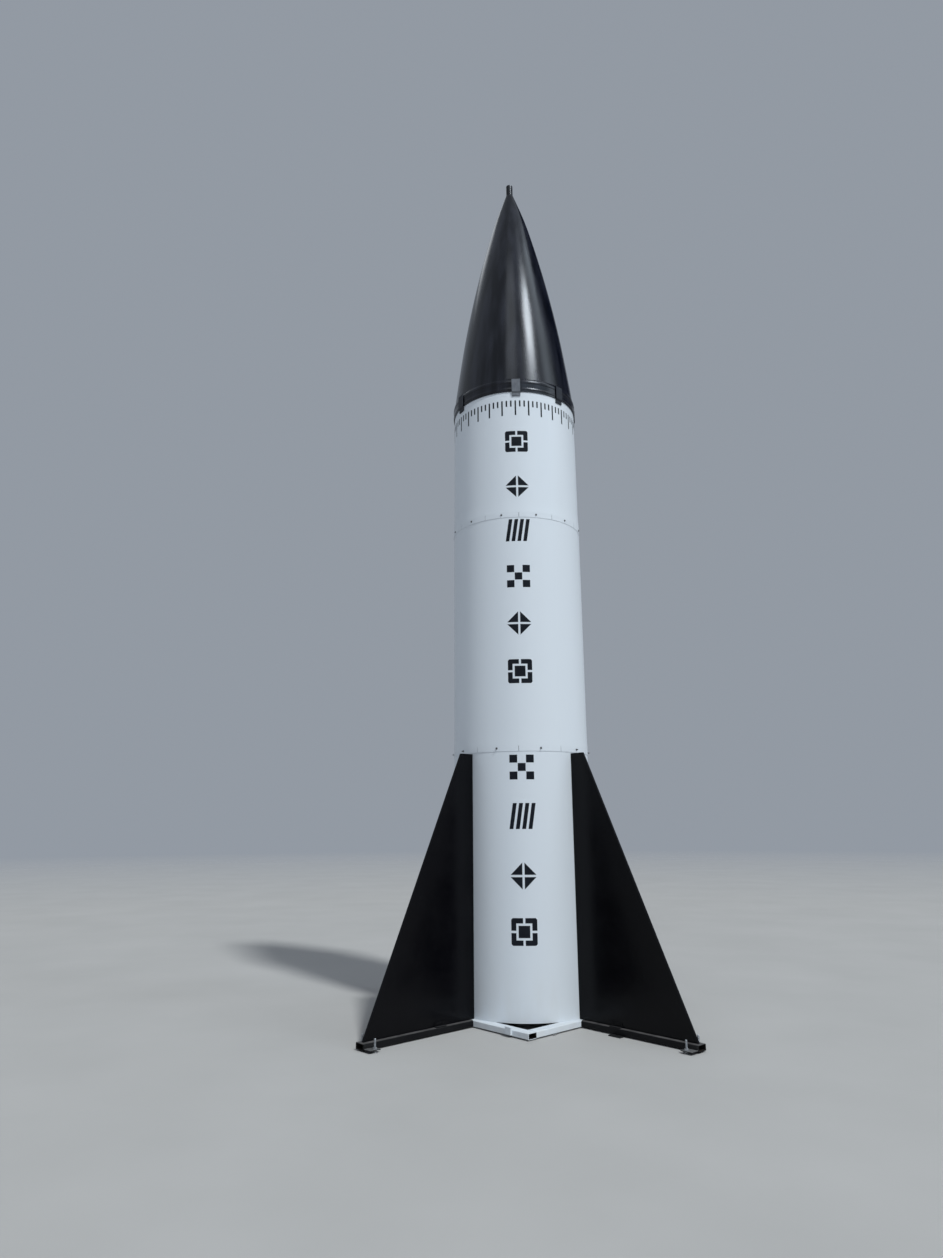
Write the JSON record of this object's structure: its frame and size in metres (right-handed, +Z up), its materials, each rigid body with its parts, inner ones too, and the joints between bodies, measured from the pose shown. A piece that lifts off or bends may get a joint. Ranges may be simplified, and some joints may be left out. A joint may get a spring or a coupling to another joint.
{
  "type": "display rocket",
  "caption": "Upright display rocket with a white rolled body, a black ogive nose held by strap plates, and black fins on outriggers with levelling feet.",
  "frame": {"origin": "on the ground under the middle of the rocket", "axes": "+Z up along the body, -Y towards the front, where one corner of the square base frame points and the marks are, +X to the right seen from the front"},
  "size_m": [2.4738, 2.5772, 8.262],
  "materials": {
    "white_paint": "gloss",
    "black_gloss": "gloss",
    "black_satin": "satin",
    "grey_steel": "weathered",
    "zinc_steel": "galvanised"
  },
  "bodies": {
    "root": {"base_tube_front_left": "white_paint", "base_tube_front_right": "white_paint", "base_tube_back_right": "white_paint", "base_tube_back_left": "white_paint", "base_side_lug": "white_paint", "base_packer": "grey_steel", "outrigger_packer": "grey_steel", "outrigger_front_right": "black_satin", "foot_bracket_front_right_a": "black_satin", "levelling_foot_front_right_a": "zinc_steel", "foot_bracket_front_right_b": "black_satin", "levelling_foot_front_right_b": "zinc_steel", "fin_front_right": "black_satin", "outrigger_back_right": "black_satin", "foot_bracket_back_right_a": "black_satin", "levelling_foot_back_right_a": "zinc_steel", "foot_bracket_back_right_b": "black_satin", "levelling_foot_back_right_b": "zinc_steel", "fin_back_right": "black_satin", "outrigger_back_left": "black_satin", "foot_bracket_back_left_a": "black_satin", "levelling_foot_back_left_a": "zinc_steel", "foot_bracket_back_left_b": "black_satin", "levelling_foot_back_left_b": "zinc_steel", "fin_back_left": "black_satin", "outrigger_front_left": "black_satin", "foot_bracket_front_left_a": "black_satin", "levelling_foot_front_left_a": "zinc_steel", "foot_bracket_front_left_b": "black_satin", "levelling_foot_front_left_b": "zinc_steel", "fin_front_left": "black_satin", "body_lower": "white_paint", "body_middle": "white_paint", "body_upper": "white_paint", "nose_ring": "black_gloss", "nose_cone": "black_gloss", "tip_tube": "black_gloss", "nose_strap_1": "grey_steel", "nose_strap_2": "black_satin", "nose_strap_3": "black_satin", "nose_strap_4": "black_satin", "nose_strap_5": "black_satin", "nose_strap_6": "black_satin", "nose_strap_7": "black_satin"}
  },
  "joints": []
}
